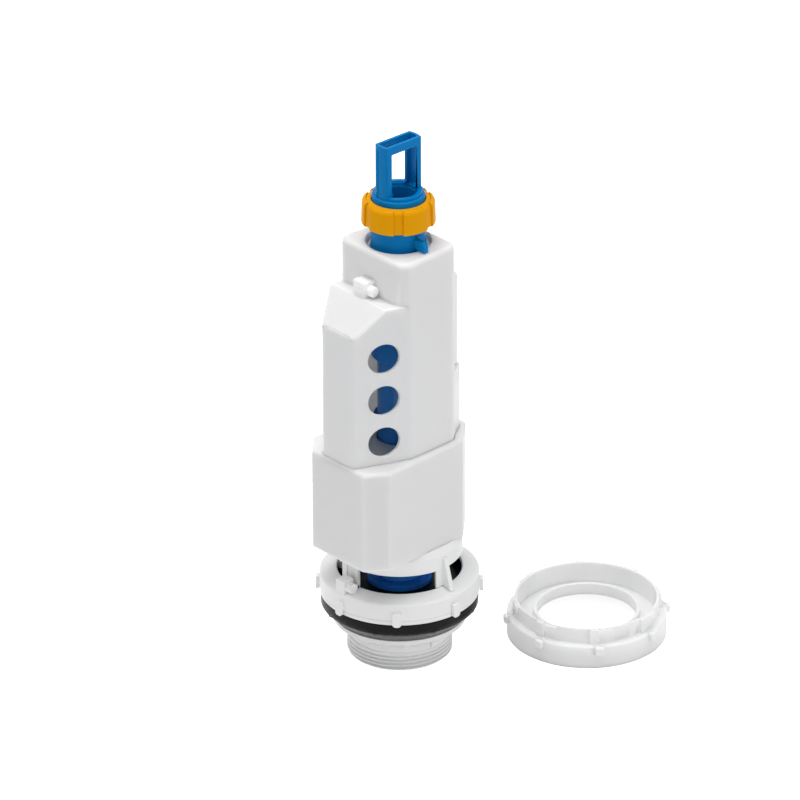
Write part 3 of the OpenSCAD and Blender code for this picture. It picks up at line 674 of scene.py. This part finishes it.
class FLUSH_OT_outlet(bpy.types.Operator):
    """Cut the thread of the outlet and draw out its lip"""

    bl_idname = "flush.outlet"
    bl_label = "Outlet thread"
    bl_options = {"REGISTER", "UNDO"}

    def execute(self, context):
        thread = context.scene.flush_thread
        edges = context.scene.flush_edges
        bm = merged("outlet_tail")
        for vert in bm.verts:
            self.shape_lip(vert.co)
        soften(bm, edges.cage, edges)
        cut_level(bm, (0, 0, thread.length), (0, 0, 1), clear_inner=True)
        rim = [e for e in bm.edges if e.is_boundary]
        crest = max(v.co.xy.length for e in rim for v in e.verts)
        outer = [e for e in rim if e.verts[0].co.xy.length > crest - thread.depth]
        inner = [e for e in rim if e not in outer]
        rows = round(thread.length / thread.pitch * thread.rows)
        for row in range(rows):
            outer = self.pull(bm, outer, thread, crest, thread.length * (1 - (row + 1) / rows))
        inner = self.pull(bm, inner, thread, None, 0)
        bmesh.ops.bridge_loops(bm, edges=outer + inner)
        finish_piece(bm, "soft_outlet_tail", "outlet_tail", THREAD_SHADE_ANGLE)
        return {"FINISHED"}

    def shape_lip(self, place):
        """Draws the lip a little out and down, and the plate's lower edge down to the washer."""
        radius = place.xy.length / MM
        height = place.z / MM
        if abs(height - LIP_Z) < NEAR:
            place.z -= LIP_DROP * MM
        if abs(radius - LIP_R) < NEAR and LIP_HEIGHTS[0] < height < LIP_HEIGHTS[1]:
            place.xy *= LIP_NEW_R / radius
        if abs(height - PLATE_Z) < NEAR:
            place.z -= PLATE_DROP * MM

    def pull(self, bm, loop, thread, crest, height):
        """Draws a rim down to a height, on the thread's flank where a crest radius is given."""
        drawn = bmesh.ops.extrude_edge_only(bm, edges=loop)["geom"]
        for vert in drawn:
            if isinstance(vert, bmesh.types.BMVert):
                vert.co.z = height
                if crest:
                    radius = self.flank(thread, crest, height, math.atan2(vert.co.y, vert.co.x))
                    vert.co.xy = vert.co.xy.normalized() * radius
        return [e for e in drawn if isinstance(e, bmesh.types.BMEdge) and e.is_boundary]

    def flank(self, thread, crest, height, angle):
        """Radius of the thread: flat crests and grooves, a run-out at the top and a chamfer at the end."""
        phase = height / thread.pitch - angle / (2 * math.pi)
        groove = min(1, max(0, FLANK_SLOPE * abs(2 * (phase % 1) - 1) - FLANK_SET))
        runout = min(1, (thread.length - height) / thread.pitch)
        return min(crest - thread.depth * groove * runout, crest - thread.chamfer + height)


# Floor in the housing, in mm: level, radius and steps of the hole for the tube, back edge, thickness
TOWER_FLOOR_Z = 134.2
TOWER_FLOOR_HOLE_R = 14.9
TOWER_FLOOR_STEPS = 64
TOWER_FLOOR_BACK = 8
TOWER_FLOOR_T = 0.8
# Ring round the sleeve in the housing's top, in mm
SLEEVE_RING_RADII = (16, 18.3)
SLEEVE_RING_HEIGHTS = (251.2, 252)


class FLUSH_OT_inside(bpy.types.Operator):
    """Add the floor under the water holes and the ring round the sleeve"""

    bl_idname = "flush.inside"
    bl_label = "Floors in the housing"
    bl_options = {"REGISTER", "UNDO"}

    def execute(self, context):
        bm = merged("housing")
        level = TOWER_FLOOR_Z * MM
        cut_level(bm, (0, 0, level), (0, 0, 1), clear_inner=True, clear_outer=True)
        bmesh.ops.delete(bm, geom=self.outer_loop(bm), context="VERTS")
        bmesh.ops.create_circle(
            bm, cap_ends=False, radius=TOWER_FLOOR_HOLE_R * MM, segments=TOWER_FLOOR_STEPS,
            matrix=Matrix.Translation((0, 0, level)),
        )
        bmesh.ops.triangle_fill(bm, edges=bm.edges[:], use_beauty=True, use_dissolve=False)
        cut_level(bm, (0, TOWER_FLOOR_BACK * MM, 0), (0, 1, 0), clear_outer=True)
        bmesh.ops.solidify(bm, geom=bm.faces[:], thickness=TOWER_FLOOR_T * MM)
        ring_part(bm, SLEEVE_RING_RADII, SLEEVE_RING_HEIGHTS, 0, 360)
        finish_piece(bm, "tower_floors", "housing", stands=False, finish="valve_cage")
        return {"FINISHED"}

    def outer_loop(self, bm):
        """The points of the loop of edges that runs round the others."""
        start = max(bm.verts, key=lambda v: v.co.xy.length)
        found = {start}
        queue = [start]
        while queue:
            for edge in queue.pop().link_edges:
                for vert in edge.verts:
                    if vert not in found:
                        found.add(vert)
                        queue.append(vert)
        return list(found)


# Window of the handle, in mm: planes of the flats and how near, half width, new half width, heights
HANDLE_FLATS = (5, 3.1)
HANDLE_NEAR = 0.03
WINDOW_SIDE = 10.2
WINDOW_NEW_SIDE = 9
WINDOW_HEIGHTS = (286.1, 311.1)
# Bore of the handle's plug, in mm: its top, reach and new radius
BORE_TOP = 283.1
BORE_REACH = 8.4
BORE_NEW_R = 9.75
# Funnel above the bore, in mm: its heights, reach and new radius
FUNNEL_HEIGHTS = (283.5, 285)
FUNNEL_REACH = 9.8
FUNNEL_NEW_R = 10.35


class FLUSH_OT_pull(bpy.types.Operator):
    """Round the edges of the blue handle, the sleeve and the seal's clamp"""

    bl_idname = "flush.pull"
    bl_label = "Handle and sleeve"
    bl_options = {"REGISTER", "UNDO"}

    def execute(self, context):
        edges = context.scene.flush_edges
        handle = merged("pull_handle")
        for vert in handle.verts:
            self.shape_handle(vert.co)
        soft_piece(handle, "pull_handle", edges.handle, edges)
        for node in ("adjust_sleeve", "seal_clamp"):
            soft_piece(merged(node), node, edges.small, edges)
        return {"FINISHED"}

    def shape_handle(self, place):
        """Draws the sides of the handle's window in and widens the mouth of its plug."""
        mm = place / MM
        on_flat = any(abs(abs(mm.x) - flat) < HANDLE_NEAR for flat in HANDLE_FLATS)
        beside_window = abs(mm.y) < WINDOW_SIDE + NEAR and WINDOW_HEIGHTS[0] < mm.z < WINDOW_HEIGHTS[1]
        if on_flat and beside_window:
            place.y *= WINDOW_NEW_SIDE / WINDOW_SIDE
        radius = place.xy.length / MM
        if mm.z < BORE_TOP and radius < BORE_REACH:
            place.xy *= BORE_NEW_R / radius
        if FUNNEL_HEIGHTS[0] < mm.z < FUNNEL_HEIGHTS[1] and radius < FUNNEL_REACH:
            place.xy *= FUNNEL_NEW_R / radius


# Pads of the clamp nut, in mm: the radius where they start, and how far their foot is drawn out
PAD_R = 18
PAD_OUT = 0.5


class FLUSH_OT_clamp(bpy.types.Operator):
    """Round the edges of the clamp nut and draw out the foot of its pads"""

    bl_idname = "flush.clamp"
    bl_label = "Clamp nut"
    bl_options = {"REGISTER", "UNDO"}

    def execute(self, context):
        edges = context.scene.flush_edges
        low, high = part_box("clamp_nut")
        nut = merged("clamp_nut")
        for vert in nut.verts:
            radius = vert.co.xy.length
            if radius > PAD_R * MM:
                share = (high.z - vert.co.z) / (high.z - low.z)
                vert.co.xy *= 1 + PAD_OUT * MM * share / radius
        soft_piece(nut, "clamp_nut", edges.nut, edges)
        return {"FINISHED"}


# Washer, in mm: where its rim starts, foot and top of its cone, height of its upright edge
RIM_R = 36
CONE_FOOT = 23.5
CONE_TOP = 30.7
EDGE_H = 6.7
# How far the rim is pushed out at the top of the cone, and how much less at the top of the edge
SWELL = 2.2
SWELL_LOSS = 1.45
# Top face of the washer lies above this height, and its drop
WASHER_TOP = 37
WASHER_DROP = 0.7


class FLUSH_OT_rubber(bpy.types.Operator):
    """Round the edges of the washer and swell its rim"""

    bl_idname = "flush.rubber"
    bl_label = "Rubber washer"
    bl_options = {"REGISTER", "UNDO"}

    def execute(self, context):
        edges = context.scene.flush_edges
        washer = merged("floor_washer")
        for vert in washer.verts:
            self.swell(vert.co)
        soft_piece(washer, "floor_washer", edges.small, edges)
        return {"FINISHED"}

    def swell(self, place):
        """Pushes the washer's rim out, as the weight on it does, most at the foot of its upright edge."""
        radius = place.xy.length / MM
        height = place.z / MM
        if radius > RIM_R:
            if height < CONE_TOP:
                out = SWELL * max(0, height - CONE_FOOT) / (CONE_TOP - CONE_FOOT)
            else:
                out = SWELL - SWELL_LOSS * min(1, (height - CONE_TOP) / EDGE_H)
            place.xy *= (radius + out) / radius
        if height > WASHER_TOP:
            place.z -= WASHER_DROP * MM


class FLUSH_OT_inner(bpy.types.Operator):
    """Give every CAD node its material"""

    bl_idname = "flush.inner"
    bl_label = "Materials of the CAD nodes"
    bl_options = {"REGISTER", "UNDO"}

    def execute(self, context):
        for node, cad in frame["nodes"].items():
            cad.data.materials.clear()
            cad.data.materials.append(look(node))
        return {"FINISHED"}


# Places and sides of the square lights, in metres
TOP_PLACE = (0.2, 0.1, 2.6)
TOP_SIDE = 2.4
FRONT_PLACE = (-0.7, -0.5, 2.4)
FRONT_SIDE = 2.0
SIDE_PLACE = (2.4, 0.4, 0.7)
SIDE_SIDE = 1.6
# Half side of the floor in metres, and its colour
FLOOR_REACH = 12
FLOOR_GREY = (0.88, 0.88, 0.88, 1)
WHITE = (1, 1, 1, 1)
# Sensor of the camera in millimetres, and how far it sees in metres
SENSOR = 36
SIGHT = 100


class FLUSH_OT_stage(bpy.types.Operator):
    """Set the floor, the light and the camera"""

    bl_idname = "flush.stage"
    bl_label = "Studio"
    bl_options = {"REGISTER", "UNDO"}

    def execute(self, context):
        studio = context.scene.flush_studio
        self.floor(studio)
        self.world(context.scene, studio)
        aim = Vector(studio.aim)
        self.light(context.scene, "Top light", TOP_PLACE, aim, TOP_SIDE, studio.top)
        self.light(context.scene, "Front light", FRONT_PLACE, aim, FRONT_SIDE, studio.front)
        self.light(context.scene, "Side light", SIDE_PLACE, aim, SIDE_SIDE, studio.side)
        self.camera(context.scene, studio, aim)
        context.scene.view_settings.view_transform = "Standard"
        return {"FINISHED"}

    def seen(self, tree):
        """One for rays that come straight from the camera, or by gloss or glass."""
        path = tree.nodes.new("ShaderNodeLightPath")
        total = path.outputs["Is Camera Ray"]
        for ray in ("Is Glossy Ray", "Is Transmission Ray"):
            add = tree.nodes.new("ShaderNodeMath")
            add.operation = "ADD"
            add.use_clamp = True
            tree.links.new(total, add.inputs[0])
            tree.links.new(path.outputs[ray], add.inputs[1])
            total = add.outputs[0]
        return total

    def floor(self, studio):
        """A pale floor that is white to the camera and keeps the object's shadow."""
        bm = bmesh.new()
        bmesh.ops.create_grid(bm, x_segments=1, y_segments=1, size=FLOOR_REACH)
        mesh = bpy.data.meshes.new("floor")
        bm.to_mesh(mesh)
        bm.free()
        made = bpy.data.materials.new("studio_floor")
        made.use_nodes = True
        tree = made.node_tree
        tree.nodes.clear()
        diffuse = tree.nodes.new("ShaderNodeBsdfDiffuse")
        diffuse.inputs["Color"].default_value = FLOOR_GREY
        lift = tree.nodes.new("ShaderNodeEmission")
        scale = tree.nodes.new("ShaderNodeMath")
        scale.operation = "MULTIPLY"
        scale.inputs[1].default_value = studio.floor_lift
        total = tree.nodes.new("ShaderNodeAddShader")
        out = tree.nodes.new("ShaderNodeOutputMaterial")
        tree.links.new(self.seen(tree), scale.inputs[0])
        tree.links.new(scale.outputs[0], lift.inputs["Strength"])
        tree.links.new(diffuse.outputs[0], total.inputs[0])
        tree.links.new(lift.outputs[0], total.inputs[1])
        tree.links.new(total.outputs[0], out.inputs["Surface"])
        mesh.materials.append(made)
        floor = bpy.data.objects.new("floor", mesh)
        bpy.context.scene.collection.objects.link(floor)

    def world(self, scene, studio):
        """Even light from all round, and white behind the object."""
        world = bpy.data.worlds.new("studio_sky")
        world.use_nodes = True
        tree = world.node_tree
        tree.nodes.clear()
        sky = tree.nodes.new("ShaderNodeBackground")
        sky.inputs["Strength"].default_value = studio.sky
        white = tree.nodes.new("ShaderNodeBackground")
        mix = tree.nodes.new("ShaderNodeMixShader")
        out = tree.nodes.new("ShaderNodeOutputWorld")
        for node in (sky, white):
            node.inputs["Color"].default_value = WHITE
        tree.links.new(self.seen(tree), mix.inputs[0])
        tree.links.new(sky.outputs[0], mix.inputs[1])
        tree.links.new(white.outputs[0], mix.inputs[2])
        tree.links.new(mix.outputs[0], out.inputs["Surface"])
        scene.world = world

    def light(self, scene, name, place, aim, side, power):
        """A square soft light that faces its aim."""
        data = bpy.data.lights.new(name, "AREA")
        data.size = side
        data.energy = power
        light = bpy.data.objects.new(name, data)
        light.location = place
        light.rotation_euler = (aim - Vector(place)).to_track_quat("-Z", "Y").to_euler()
        scene.collection.objects.link(light)

    def camera(self, scene, studio, aim):
        """A camera at the photograph's angle."""
        data = bpy.data.cameras.new("camera")
        data.lens = studio.lens
        data.sensor_width = SENSOR
        data.clip_end = SIGHT
        away = Vector((
            math.sin(studio.azimuth) * math.cos(studio.elevation),
            -math.cos(studio.azimuth) * math.cos(studio.elevation),
            math.sin(studio.elevation),
        ))
        camera = bpy.data.objects.new("camera", data)
        turn = (-away).to_track_quat("-Z", "Y").to_matrix() @ Matrix.Rotation(studio.roll, 3, "Z")
        camera.matrix_world = Matrix.Translation(aim + away * studio.distance) @ turn.to_4x4()
        scene.collection.objects.link(camera)
        scene.camera = camera


class FLUSH_PT_panel(bpy.types.Panel):
    """Sidebar of the flush valve"""

    bl_idname = "FLUSH_PT_panel"
    bl_label = "Flush Valve"
    bl_space_type = "VIEW_3D"
    bl_region_type = "UI"
    bl_category = "Flush Valve"

    def draw(self, context):
        layout = self.layout
        scene = context.scene
        for group in (scene.flush_edges, scene.flush_thread, scene.flush_colours, scene.flush_studio):
            column = layout.box().column(align=True)
            for name in group.bl_rna.properties.keys():
                if name not in ("rna_type", "name"):
                    column.prop(group, name)
        for operator in STEPS:
            layout.operator(operator.bl_idname)


STEPS = (
    FLUSH_OT_inner, FLUSH_OT_mouldings, FLUSH_OT_flange, FLUSH_OT_back_nut, FLUSH_OT_cage, FLUSH_OT_outlet,
    FLUSH_OT_inside, FLUSH_OT_pull, FLUSH_OT_clamp, FLUSH_OT_rubber, FLUSH_OT_stage,
)
CLASSES = (FlushEdges, FlushThread, FlushColours, FlushStudio, *STEPS, FLUSH_PT_panel)


def register():
    for cls in CLASSES:
        bpy.utils.register_class(cls)
    bpy.types.Scene.flush_edges = PointerProperty(type=FlushEdges)
    bpy.types.Scene.flush_thread = PointerProperty(type=FlushThread)
    bpy.types.Scene.flush_colours = PointerProperty(type=FlushColours)
    bpy.types.Scene.flush_studio = PointerProperty(type=FlushStudio)


def unregister():
    del bpy.types.Scene.flush_studio
    del bpy.types.Scene.flush_colours
    del bpy.types.Scene.flush_thread
    del bpy.types.Scene.flush_edges
    for cls in reversed(CLASSES):
        bpy.utils.unregister_class(cls)


def main():
    register()
    bpy.ops.flush.inner()
    bpy.ops.flush.mouldings()
    bpy.ops.flush.flange()
    bpy.ops.flush.back_nut()
    bpy.ops.flush.cage()
    bpy.ops.flush.outlet()
    bpy.ops.flush.inside()
    bpy.ops.flush.pull()
    bpy.ops.flush.clamp()
    bpy.ops.flush.rubber()
    bpy.ops.flush.stage()


if __name__ == "__main__":
    main()
